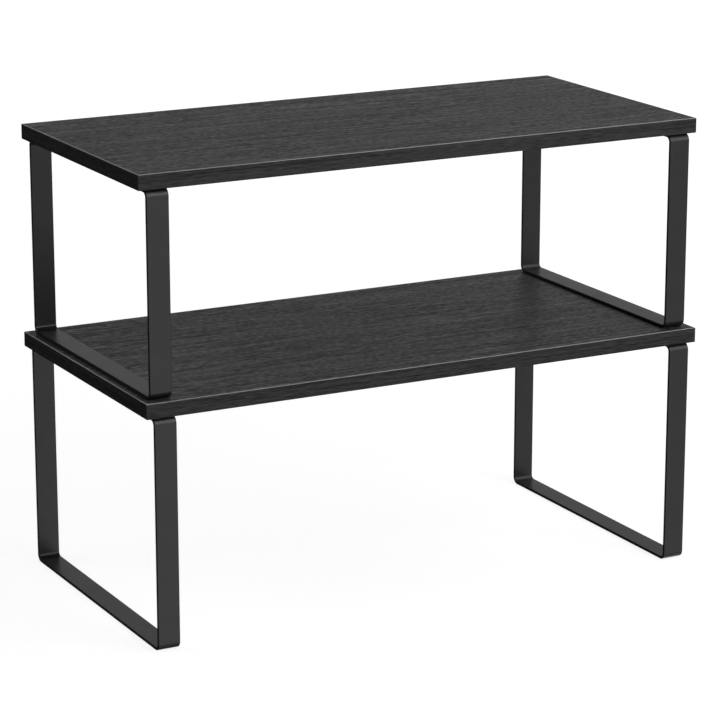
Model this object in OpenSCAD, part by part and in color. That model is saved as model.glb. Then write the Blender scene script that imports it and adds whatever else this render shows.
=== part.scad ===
// Two stacking riser shelves. The smaller riser stands on the larger one. It is
// also small enough to pass through the larger one's end frames, so the pair nests.
// Each riser is a faced and edge-banded board, screwed down onto two closed frames
// of bent flat bar, one near each end.
// X runs along the boards, -Y is the front and +Z is up. The origin is on the
// resting surface, under the middle of the larger, lower riser.

/* [Boards] */
// Length of both boards, along X
board_l = 400; // [240:10:700]
// Depth of the lower board, along Y
lower_board_d = 200; // [150:5:400]
// Thickness of both boards, over their facings
board_t = 10; // [8:0.5:25]
// Thickness of the wood-grain facing on each side of a board
laminate_t = 0.3; // [0.2:0.1:1]
// Thickness of the band on each edge of a board
edge_band_t = 0.8; // [0.4:0.1:3]
// Radius that eases the boards' top and bottom edges, at most the band's thickness
edge_ease_r = 0.5; // [0.2:0.1:2]

/* [Frames] */
// Height of the lower frames, from the surface to the lower board
lower_frame_h = 151; // [110:1:300]
// Width of the flat bar
bar_w = 15; // [12:1:40]
// Thickness of the flat bar
bar_t = 2; // [1.5:0.5:5]
// Inside radius of the bar's four bends
bend_inner_r = 3; // [2:0.5:12]
// Distance from a board's end to the near edge of the frame under it
frame_end_inset = 5; // [0:0.5:60]
// Distance a frame stands back from its board's front and back edges
frame_setback = 0; // [0:0.5:15]

/* [Nesting] */
// Gap in front of and behind the upper riser when it stands inside the lower frames
nest_gap = 4; // [2:0.5:15]
// Gap between the nested upper riser and the lower frames' screw heads
nest_headroom = 3.6; // [1:0.2:30]

/* [Screws] */
// Diameter of the screws, over their threads
screw_d = 4; // [3:0.5:6]
// Diameter of the screw heads
screw_head_d = 8; // [7:0.5:12]
// Height of the screw heads
screw_head_h = 2.4; // [1.8:0.2:4]
// Radius of the rounded rim of a screw head
screw_head_round = 1.4; // [0.5:0.1:1.6]
// Length of the screws' pointed tips
screw_tip_l = 2.5; // [1:0.5:4]
// Flat left at the end of a screw's tip, as a radius
screw_tip_r = 0.4; // [0.2:0.1:1]
// Length of each arm of the cross recess, end to end
recess_l = 4.4; // [3:0.2:6]
// Width of each arm of the cross recess
recess_w = 0.9; // [0.6:0.1:1.4]
// Depth of the cross recess
recess_depth = 1.4; // [0.8:0.1:1.6]
// Board left above the tip of a screw
screw_cover = 2; // [1.5:0.5:4]
// Gap all round a screw in the bar
bar_hole_gap = 0.25; // [0.1:0.05:1]
// Gap all round a screw in the board
pilot_gap = 0.05; // [0.02:0.01:0.2]
// Distance from a frame's front or back to its nearest screw
screw_inset = 35; // [20:1:60]

/* [Hidden] */
$fn = 48;

// The upper riser's size follows from passing through the lower frames
upper_board_d = lower_board_d - 2 * (frame_setback + bar_t + nest_gap);
upper_riser_h = lower_frame_h - 2 * bar_t - screw_head_h - nest_headroom;
upper_frame_h = upper_riser_h - board_t;

// A riser is [board depth, frame height, height that it stands at]
LOWER = [lower_board_d, lower_frame_h, 0];
UPPER = [upper_board_d, upper_frame_h, lower_frame_h + board_t];
function depth(riser) = riser[0];
function frame_h(riser) = riser[1];
function foot_z(riser) = riser[2];
function board_z(riser) = foot_z(riser) + frame_h(riser);
function frame_d(riser) = depth(riser) - 2 * frame_setback;
function screw_y(riser) = frame_d(riser) / 2 - screw_inset;

LEFT = -1;
RIGHT = 1;
FRONT = -1;
BACK = 1;
frame_x = board_l / 2 - frame_end_inset - bar_w / 2;

core_l = board_l - 2 * edge_band_t;
ease_r = min(edge_ease_r, edge_band_t);
screw_reach = board_t - screw_cover;
slack = 1;  // how far a cut runs past what it cuts

CORE_COLOUR = [0.36, 0.27, 0.19];
FACING_COLOUR = [0.22, 0.22, 0.22];
EDGE_COLOUR = [0.17, 0.17, 0.17];
STEEL_COLOUR = [0.13, 0.13, 0.13];
SCREW_COLOUR = [0.10, 0.10, 0.10];

// A rectangle that stands on the X axis and is centred on Y, with round corners
module round_rect(width, height, r) {
    translate([r - width / 2, 0]) square([width - 2 * r, height]);
    translate([-width / 2, r]) square([width, height - 2 * r]);
    for (x = [r - width / 2, width / 2 - r], y = [r, height - r])
        translate([x, y]) circle(r);
}

// A flat slab whose underside is at height z
module slab(length, width, thickness, z) {
    translate([-length / 2, -width / 2, z]) cube([length, width, thickness]);
}

// The whole board as one shape, with its top and bottom edges eased
module eased_board(riser) {
    translate([0, 0, board_z(riser)]) intersection() {
        rotate([90, 0, 90]) linear_extrude(board_l, center = true)
            round_rect(depth(riser), board_t, ease_r);
        rotate([90, 0, 0]) linear_extrude(depth(riser), center = true)
            round_rect(board_l, board_t, ease_r);
    }
}

// Puts a thing at both screws of one frame
module at_screws(riser, side) {
    for (end = [FRONT, BACK])
        translate([side * frame_x, end * screw_y(riser), board_z(riser)]) children();
}

// The holes that the screws make in a board, up from its underside
module pilot_holes(riser) {
    for (side = [LEFT, RIGHT]) at_screws(riser, side)
        translate([0, 0, -slack])
            cylinder(h = screw_reach + slack, r = screw_d / 2 + pilot_gap);
}

module board_core(riser) {
    color(CORE_COLOUR) difference() {
        slab(core_l, depth(riser) - 2 * edge_band_t, board_t - 2 * laminate_t,
            board_z(riser) + laminate_t);
        pilot_holes(riser);
    }
}

module top_laminate(riser) {
    color(FACING_COLOUR)
        slab(core_l, depth(riser) - 2 * edge_band_t, laminate_t,
            board_z(riser) + board_t - laminate_t);
}

module bottom_laminate(riser) {
    color(FACING_COLOUR) difference() {
        slab(core_l, depth(riser) - 2 * edge_band_t, laminate_t, board_z(riser));
        pilot_holes(riser);
    }
}

// The long bands run the board's whole length and cover the ends of the short ones
module long_edge_band(riser, end) {
    color(EDGE_COLOUR) intersection() {
        eased_board(riser);
        translate([0, end * (depth(riser) - edge_band_t) / 2, 0])
            slab(board_l, edge_band_t, board_t, board_z(riser));
    }
}

module short_edge_band(riser, side) {
    color(EDGE_COLOUR) intersection() {
        eased_board(riser);
        translate([side * (board_l - edge_band_t) / 2, 0, 0])
            slab(edge_band_t, depth(riser) - 2 * edge_band_t, board_t, board_z(riser));
    }
}

// A closed loop of flat bar, with its wide faces to the front, back, top and bottom
module frame(riser, side) {
    color(STEEL_COLOUR) difference() {
        translate([side * frame_x, 0, foot_z(riser)])
            rotate([90, 0, 90]) linear_extrude(bar_w, center = true) difference() {
                round_rect(frame_d(riser), frame_h(riser), bend_inner_r + bar_t);
                translate([0, bar_t])
                    round_rect(frame_d(riser) - 2 * bar_t, frame_h(riser) - 2 * bar_t,
                        bend_inner_r);
            }
        at_screws(riser, side) translate([0, 0, -bar_t - slack])
            cylinder(h = bar_t + 2 * slack, r = screw_d / 2 + bar_hole_gap);
    }
}

// A pan-head screw with its point up, whose head seats at the origin
module screw() {
    difference() {
        rotate([180, 0, 0]) rotate_extrude() intersection() {
            translate([0, -screw_head_h])
                round_rect(screw_head_d, 2 * screw_head_h, screw_head_round);
            square([screw_head_d, screw_head_h]);
        }
        for (turn = [0, 90]) rotate(turn)
            slab(recess_l, recess_w, recess_depth + slack, -screw_head_h - slack);
    }
    cylinder(h = bar_t + screw_reach - screw_tip_l, r = screw_d / 2);
    translate([0, 0, bar_t + screw_reach - screw_tip_l])
        cylinder(h = screw_tip_l, r1 = screw_d / 2, r2 = screw_tip_r);
}

module screws(riser, side) {
    color(SCREW_COLOUR) at_screws(riser, side) translate([0, 0, -bar_t]) screw();
}

board_core(LOWER);  // lower_board_core
top_laminate(LOWER);  // lower_top_laminate
bottom_laminate(LOWER);  // lower_bottom_laminate
long_edge_band(LOWER, FRONT);  // lower_front_edge_band
long_edge_band(LOWER, BACK);  // lower_back_edge_band
short_edge_band(LOWER, LEFT);  // lower_left_edge_band
short_edge_band(LOWER, RIGHT);  // lower_right_edge_band
frame(LOWER, LEFT);  // lower_left_frame
frame(LOWER, RIGHT);  // lower_right_frame
screws(LOWER, LEFT);  // lower_left_screws
screws(LOWER, RIGHT);  // lower_right_screws

board_core(UPPER);  // upper_board_core
top_laminate(UPPER);  // upper_top_laminate
bottom_laminate(UPPER);  // upper_bottom_laminate
long_edge_band(UPPER, FRONT);  // upper_front_edge_band
long_edge_band(UPPER, BACK);  // upper_back_edge_band
short_edge_band(UPPER, LEFT);  // upper_left_edge_band
short_edge_band(UPPER, RIGHT);  // upper_right_edge_band
frame(UPPER, LEFT);  // upper_left_frame
frame(UPPER, RIGHT);  // upper_right_frame
screws(UPPER, LEFT);  // upper_left_screws
screws(UPPER, RIGHT);  // upper_right_screws
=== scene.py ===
import math

import bpy
import numpy as np
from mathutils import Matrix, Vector


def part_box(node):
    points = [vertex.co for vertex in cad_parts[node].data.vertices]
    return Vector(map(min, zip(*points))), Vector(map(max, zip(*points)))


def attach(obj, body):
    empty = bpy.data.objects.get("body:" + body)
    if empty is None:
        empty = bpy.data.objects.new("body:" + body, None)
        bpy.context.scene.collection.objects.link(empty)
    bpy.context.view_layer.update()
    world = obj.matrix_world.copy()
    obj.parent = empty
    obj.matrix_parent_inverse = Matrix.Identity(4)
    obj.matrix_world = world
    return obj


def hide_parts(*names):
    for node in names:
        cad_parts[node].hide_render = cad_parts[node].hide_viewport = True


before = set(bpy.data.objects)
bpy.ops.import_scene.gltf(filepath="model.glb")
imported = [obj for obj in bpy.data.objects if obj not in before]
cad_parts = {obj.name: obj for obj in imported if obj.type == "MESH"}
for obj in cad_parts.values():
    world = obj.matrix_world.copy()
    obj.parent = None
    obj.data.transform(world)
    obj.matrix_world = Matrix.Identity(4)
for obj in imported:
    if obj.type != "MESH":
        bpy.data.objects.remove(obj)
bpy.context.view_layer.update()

MM = 0.001

# The flat bar that the frames are made of, and the steps in its two kinds of round.
BAR_T = 2.0 * MM
BEND_INNER_R = 3.0 * MM
BAR_EDGE_R = 0.5 * MM
BEND_STEPS = 16
EDGE_STEPS = 5
SHARP_DEG = 40.0
FACE_WEIGHT = 100

# A painted highlight along the top arris of an edge band: its height, the height it fades over,
# and its grey.
ARRIS_HIGHLIGHT_H = 0.4 * MM
ARRIS_HIGHLIGHT_FADE = 0.15 * MM
ARRIS_HIGHLIGHT_GREY = 0.4

# The studio: how far the floor runs, how far it lies under the feet, how near the backdrop
# is as a share of the floor, where the lamps look, and the even light from all round.
FAR = 12.0
DROP = -0.2 * MM
BACKDROP_SHARE = 0.98
LAMPS_LOOK_AT = Vector((0.0, 0.0, 0.15))
AIR = 0.028
BLACK = (0.0, 0.0, 0.0, 1.0)
WHITE = (1.0, 1.0, 1.0, 1.0)
FLOOR_GREY = (0.35, 0.35, 0.35, 1.0)

CAMERA_AT = (-0.8994, -1.6993, 0.6598)
CAMERA_TURN_DEG = 27.88
CAMERA_DOWN_DEG = 15.13
LENS_MM = 149.1
SENSOR_MM = 36.0


# Meshes ------------------------------------------------------------------------------

def mesh_object(name, points, quads):
    """A new object at the origin, from an N x 3 array of points and an M x 4 array of
    quads."""
    mesh = bpy.data.meshes.new(name)
    mesh.from_pydata(points.tolist(), [], quads.tolist())
    mesh.validate()
    mesh.update()
    piece = bpy.data.objects.new(name, mesh)
    bpy.context.scene.collection.objects.link(piece)
    return piece


def smooth(piece):
    """Rounds are shaded smooth, edges sharper than SHARP_DEG stay sharp, and each flat
    keeps its own normal because the larger face outweighs the smaller."""
    piece.data.polygons.foreach_set("use_smooth", np.ones(len(piece.data.polygons), bool))
    piece.data.set_sharp_from_angle(angle=math.radians(SHARP_DEG))
    weighted = piece.modifiers.new("flats", "WEIGHTED_NORMAL")
    weighted.keep_sharp = True
    weighted.weight = FACE_WEIGHT


def arc(centre, radius, start, end, steps):
    """Points on a circle from one angle to another, in degrees, with both ends."""
    turn = np.radians(np.linspace(start, end, steps + 1))
    return np.stack([centre[0] + radius * np.cos(turn), centre[1] + radius * np.sin(turn)], 1)


def round_rect(width, height, radius, steps):
    """Outline of a rectangle centred on zero, anticlockwise, whose corners are arcs, and
    the outward normal at each of its points."""
    x, y = width / 2 - radius, height / 2 - radius
    corners = [((x, y), 0), ((-x, y), 90), ((-x, -y), 180), ((x, -y), 270)]
    points = np.vstack([arc(c, radius, a, a + 90, steps) for c, a in corners])
    normals = np.vstack([arc((0, 0), 1.0, a, a + 90, steps) for _, a in corners])
    return points, normals


def closed_grid(rows, columns):
    """Quads of a grid whose rows and columns both run round and meet themselves."""
    i = np.arange(rows)[:, None]
    j = np.arange(columns)[None, :]
    across = (j + 1) % columns
    down = (i + 1) % rows
    quads = np.stack([i * columns + j, i * columns + across,
                      down * columns + across, down * columns + j], -1)
    return quads.reshape(-1, 4)


def bar_loop(name, node):
    """A flat bar carried round a closed loop. The loop is a rectangle with round corners
    in YZ, along the middle of the bar's thickness. The bar's section is a rectangle with
    softened corners: its thickness lies along the loop's outward normal, its width on X."""
    low, high = (np.array(corner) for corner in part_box(node))
    middle, size = (low + high) / 2, high - low
    path, outward = round_rect(size[1] - BAR_T, size[2] - BAR_T,
                               BEND_INNER_R + BAR_T / 2, BEND_STEPS)
    section, _ = round_rect(BAR_T, size[0], BAR_EDGE_R, EDGE_STEPS)
    yz = path[:, None, :] + outward[:, None, :] * section[None, :, :1]
    x = np.broadcast_to(section[None, :, 1:], yz.shape[:2] + (1,))
    points = np.concatenate([x, yz], -1).reshape(-1, 3) + middle
    # The loop runs from Y to Z and the section from outwards to X, so the grid's own order
    # would turn the faces inwards.
    outward_quads = closed_grid(len(path), len(section))[:, ::-1]
    return mesh_object(name, points, outward_quads)


# Materials ---------------------------------------------------------------------------

class Value:
    """A shader socket. Arithmetic on it adds Math nodes to its finish."""

    def __init__(self, finish, socket):
        self.finish = finish
        self.socket = socket

    def math(self, operation, *terms):
        return self.finish.node("Math", {"operation": operation}, *terms)

    def __add__(self, other):
        return self.math("ADD", self, other)

    __radd__ = __add__

    def __sub__(self, other):
        return self.math("SUBTRACT", self, other)

    def __rsub__(self, other):
        return self.math("SUBTRACT", other, self)

    def __mul__(self, other):
        return self.math("MULTIPLY", self, other)

    __rmul__ = __mul__

    def __pow__(self, other):
        return self.math("POWER", self, other)


class Finish:
    """A material made of nodes around one Principled shader."""

    def __init__(self, name, **constants):
        self.material = bpy.data.materials.new(name)
        self.material.use_nodes = True
        self.tree = self.material.node_tree
        self.shader = self.tree.nodes["Principled BSDF"]
        for socket, value in constants.items():
            self.shader.inputs[socket.replace("_", " ")].default_value = value

    def node(self, kind, settings=None, *values, out=0, **named):
        """Adds a node. Its settings are set first, then its sockets, by place or by name."""
        made = self.tree.nodes.new("ShaderNode" + kind)
        for key, value in (settings or {}).items():
            if key == "stops":
                self.set_stops(made.color_ramp, value)
            else:
                setattr(made, key, value)
        by_name = {name.replace("_", " "): value for name, value in named.items()}
        for key, value in [*enumerate(values), *by_name.items()]:
            if isinstance(value, Value):
                self.tree.links.new(value.socket, made.inputs[key])
            else:
                made.inputs[key].default_value = value
        return Value(self, made.outputs[out])

    def set_stops(self, ramp, stops):
        """Gives a ramp its (place, colour) stops."""
        while len(ramp.elements) < len(stops):
            ramp.elements.new(1.0)
        for element, (place, colour) in zip(ramp.elements, stops):
            element.position = place
            element.color = (*colour, 1.0)

    def feed(self, socket, value):
        self.tree.links.new(value.socket, self.shader.inputs[socket])

    def axes(self):
        """The piece's own X, Y and Z, in metres, each a Value."""
        place = self.node("TexCoord", out="Object")
        split = self.node("SeparateXYZ", None, place)
        outputs = split.socket.node.outputs
        return [Value(self, outputs[axis]) for axis in "XYZ"]

    def vector(self, x, y, z):
        return self.node("CombineXYZ", None, x, y, z)

    def noise(self, place, detail=2.0, roughness=0.5, scale=1.0):
        return self.node("TexNoise", None, Vector=place, Scale=scale, Detail=detail,
                         Roughness=roughness)

    def ramp(self, value, start, end):
        """Runs from 0 to 1 while the value runs from start to end."""
        return self.node("MapRange", {"interpolation_type": "SMOOTHSTEP"}, value, start, end)

    def mix(self, level, dark, light):
        """A grey between two others, each a number or the colour of another mix."""
        made = self.node("Mix", {"data_type": "RGBA"}, level, out=2)
        inputs = made.socket.node.inputs
        for socket, end in ((inputs[6], dark), (inputs[7], light)):
            if isinstance(end, Value):
                self.tree.links.new(end.socket, socket)
            else:
                socket.default_value = (end, end, end, 1.0)
        return made


def wood_grain(name, along, dark, light, gloss, fine=1.0, stretch=1.0, wander=5.0 * MM,
               shift=0.0, arris_highlight_z=None):
    """Charcoal wood-grain foil whose grain runs along one axis: slow bands, strands inside
    them and short pores, all drifting sideways by up to wander. The figure is fine times
    narrower across the grain and stretch times longer along it, and shift moves it to another
    part of the foil. Above the given height, along the top arris of an edge band, a lighter
    grey is painted in as a highlight."""
    finish = Finish(name, Specular_IOR_Level=gloss)
    x, y, z = finish.axes()
    if along == "Y":
        x, y = y, x
    z = z + shift
    drift = finish.noise(finish.vector(x * 5.0, y * 9.0, z * 9.0), 1.0) * wander
    run, side, up = x * (1.0 / stretch), (y + drift) * fine, (z + drift) * fine

    def streaks(long, thin, detail, roughness):
        place = finish.vector(run * long, side * thin, up * thin)
        return finish.noise(place, detail, roughness) - 0.5

    bands = streaks(10.0, 280.0, 2.0, 0.6)
    strands = streaks(60.0, 620.0, 2.0, 0.6)
    pores = streaks(330.0, 760.0, 1.0, 0.5)
    figure = bands * 1.3 + strands * 1.2 + pores * 1.9
    colour = finish.mix(0.5 + figure, dark, light)
    # Painted highlight: the foil turns a lighter grey along the top arris of an edge band.
    if arris_highlight_z is not None:
        painted_highlight = finish.ramp(finish.axes()[2], arris_highlight_z, arris_highlight_z + ARRIS_HIGHLIGHT_FADE)
        colour = finish.mix(painted_highlight, colour, ARRIS_HIGHLIGHT_GREY)
    finish.feed("Base Color", colour)
    finish.feed("Roughness", 0.5 - figure * 0.3)
    relief = bands + strands * 1.1 + pores * 0.9
    finish.feed("Normal", finish.node("Bump", None, Strength=0.5, Distance=0.06 * MM,
                                      Height=relief))
    return finish.material


def powder_coat(name, dark, light):
    """Satin black powder coat, with the fine unevenness that a baked coat has."""
    finish = Finish(name, Specular_IOR_Level=0.5)
    place = finish.vector(*finish.axes())
    grains = finish.noise(place, 2.0, 0.6, scale=900.0) - 0.5
    patches = finish.noise(place, 2.0, 0.5, scale=70.0) - 0.5
    mottle = grains * 0.9 + patches * 0.8
    finish.feed("Base Color", finish.mix(0.5 + mottle, dark, light))
    finish.feed("Roughness", 0.34 - mottle * 0.08)
    finish.feed("Normal", finish.node("Bump", None, Strength=0.4, Distance=0.02 * MM,
                                      Height=grains))
    return finish.material


def black_oxide(name):
    """Blackened screw steel: dark metal, oiled, a little uneven."""
    finish = Finish(name, Metallic=0.9)
    place = finish.vector(*finish.axes())
    wear = finish.noise(place, 3.0, 0.6, scale=1100.0)
    finish.feed("Base Color", finish.mix(wear, 0.05, 0.16))
    finish.feed("Roughness", 0.3 + wear * 0.25)
    return finish.material


def particle_board(name):
    """Pressed wood chips: flakes of several browns, each its own cell, lying flat."""
    finish = Finish(name, Roughness=0.85, Specular_IOR_Level=0.25)
    x, y, z = finish.axes()
    place = finish.vector(x * 260.0, y * 260.0, z * 1100.0)
    chips = finish.node("TexVoronoi", {"feature": "F1"}, Vector=place, Scale=1.0, out=1)
    tone = finish.node("SeparateColor", None, chips)
    browns = finish.node("ValToRGB", {"stops": [(0.0, (0.22, 0.13, 0.07)),
                                                (0.5, (0.42, 0.28, 0.16)),
                                                (1.0, (0.6, 0.45, 0.28))]}, tone)
    finish.feed("Base Color", browns)
    finish.feed("Normal", finish.node("Bump", None, Strength=0.4, Distance=0.1 * MM, Height=tone))
    return finish.material


def dress(node, material):
    """Gives a CAD node one finish all over."""
    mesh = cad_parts[node].data
    mesh.materials.clear()
    mesh.materials.append(material)


FACE_FOIL = wood_grain("charcoal_grain_face", "X", 0.01, 0.066, 0.5, fine=1.1, stretch=1.35)
COAT = powder_coat("satin_black_powder_coat", 0.014, 0.023)
SCREW_STEEL = black_oxide("black_oxide_screw_steel")
CHIPS = particle_board("particle_board")

for tier in ("lower", "upper"):
    # The height where the painted highlight on the top arris of the edge bands begins.
    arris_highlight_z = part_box(f"{tier}_front_edge_band")[1].z - ARRIS_HIGHLIGHT_H
    edge_finish = {"dark": 0.006, "light": 0.045, "gloss": 0.3, "fine": 2.2, "stretch": 3.0,
                   "wander": 1.5 * MM, "arris_highlight_z": arris_highlight_z}
    long_foil = wood_grain(f"charcoal_grain_{tier}_long_edge", "X", shift=0.7, **edge_finish)
    short_foil = wood_grain(f"charcoal_grain_{tier}_short_edge", "Y", shift=1.3, **edge_finish)
    dress(f"{tier}_board_core", CHIPS)
    for face in ("top", "bottom"):
        dress(f"{tier}_{face}_laminate", FACE_FOIL)
    for end in ("front", "back"):
        dress(f"{tier}_{end}_edge_band", long_foil)
    for side in ("left", "right"):
        dress(f"{tier}_{side}_edge_band", short_foil)
        dress(f"{tier}_{side}_screws", SCREW_STEEL)
        loop = bar_loop(f"{tier}_{side}_bent_bar", f"{tier}_{side}_frame")
        smooth(loop)
        loop.data.materials.append(COAT)
        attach(loop, f"{tier}_shelf")
        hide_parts(f"{tier}_{side}_frame")


# Stage -------------------------------------------------------------------------------

def stage_piece(name, points, quads, material):
    """A floor or backdrop that the camera sees, and that lights and shades nothing."""
    piece = mesh_object(name, np.array(points, float), np.array(quads))
    piece.data.materials.append(material)
    for flag in ("visible_diffuse", "visible_glossy", "visible_transmission", "visible_shadow"):
        setattr(piece, flag, False)
    return piece


def white_floor():
    """White floor that takes faint shadows near the shelves and melts into the backdrop."""
    finish = Finish("floor_white", Base_Color=FLOOR_GREY, Roughness=1.0, Specular_IOR_Level=0.0,
                    Emission_Strength=1.0)
    x, y, z = finish.axes()
    away = (x * x + y * y) ** 0.5
    level = finish.ramp(away, 0.3, 2.5)
    finish.feed("Emission Color", finish.mix(level, 0.86, 1.0))
    return finish.material


def white_backdrop():
    """Even white that gives off its own light and takes no shadow."""
    finish = Finish("backdrop_white", Base_Color=BLACK, Emission_Color=WHITE, Roughness=1.0,
                    Specular_IOR_Level=0.0, Emission_Strength=1.0)
    return finish.material


def floor_square():
    """One square on the ground, and its only quad."""
    points = [(-FAR, -FAR, DROP), (FAR, -FAR, DROP), (FAR, FAR, DROP), (-FAR, FAR, DROP)]
    return points, [(0, 1, 2, 3)]


def dome(low_deg=-8, rows=12, columns=24):
    """Rings of points on a sphere, from a little below level up to the top, whose radius is
    a share of the floor's reach. Its lowest ring is under the floor."""
    turn = np.radians(np.arange(columns) * (360 / columns))[None, :]
    rise = np.radians(np.linspace(low_deg, 90, rows))[:, None]
    points = FAR * BACKDROP_SHARE * np.stack([np.cos(rise) * np.cos(turn),
                                              np.cos(rise) * np.sin(turn),
                                              np.sin(rise) + 0 * turn], -1)
    quads = closed_grid(rows, columns)[: (rows - 1) * columns]
    return points.reshape(-1, 3), quads


def studio_air():
    """Even light from all round, too faint to see by."""
    world = bpy.data.worlds.new("studio_air")
    world.use_nodes = True
    background = world.node_tree.nodes["Background"]
    background.inputs["Color"].default_value = WHITE
    background.inputs["Strength"].default_value = AIR
    bpy.context.scene.world = world


def softbox(name, turn, rise, distance, size, power):
    """A square of light that looks at the middle of the shelves. Turn is counted from the
    front round to the right, and rise up from level, both in degrees."""
    data = bpy.data.lights.new(name, "AREA")
    data.shape = "SQUARE"
    data.size = size
    data.energy = power
    lamp = bpy.data.objects.new(name, data)
    bpy.context.scene.collection.objects.link(lamp)
    turn, rise = math.radians(turn), math.radians(rise)
    away = Vector((math.sin(turn) * math.cos(rise), -math.cos(turn) * math.cos(rise),
                   math.sin(rise)))
    lamp.rotation_euler = away.to_track_quat("Z", "Y").to_euler()
    lamp.location = LAMPS_LOOK_AT + away * distance


stage_piece("floor", *floor_square(), white_floor())
stage_piece("backdrop", *dome(), white_backdrop())
studio_air()
softbox("overhead", turn=50, rise=66, distance=1.6, size=1.2, power=1.8)
softbox("front", turn=26, rise=31, distance=1.5, size=0.9, power=8.0)
softbox("behind", turn=152, rise=13, distance=1.8, size=1.2, power=1.75)
softbox("right", turn=90, rise=24, distance=1.8, size=2.0, power=14.5)
softbox("left_behind", turn=-112, rise=36, distance=1.8, size=1.3, power=7.0)
softbox("under", turn=18, rise=-14, distance=1.6, size=1.3, power=4.9)
softbox("under_front", turn=20, rise=-48, distance=1.6, size=1.6, power=2.5)
softbox("under_behind", turn=150, rise=-32, distance=1.6, size=1.6, power=6.0)
softbox("under_right", turn=102, rise=-32, distance=1.6, size=1.6, power=6.0)


# Camera ------------------------------------------------------------------------------

camera = bpy.data.objects.new("camera", bpy.data.cameras.new("camera"))
bpy.context.scene.collection.objects.link(camera)
camera.data.sensor_width = SENSOR_MM
camera.data.lens = LENS_MM
camera.location = CAMERA_AT
camera.rotation_euler = (math.radians(90 - CAMERA_DOWN_DEG), 0.0,
                         -math.radians(CAMERA_TURN_DEG))
bpy.context.scene.camera = camera
bpy.context.scene.view_settings.view_transform = "Standard"
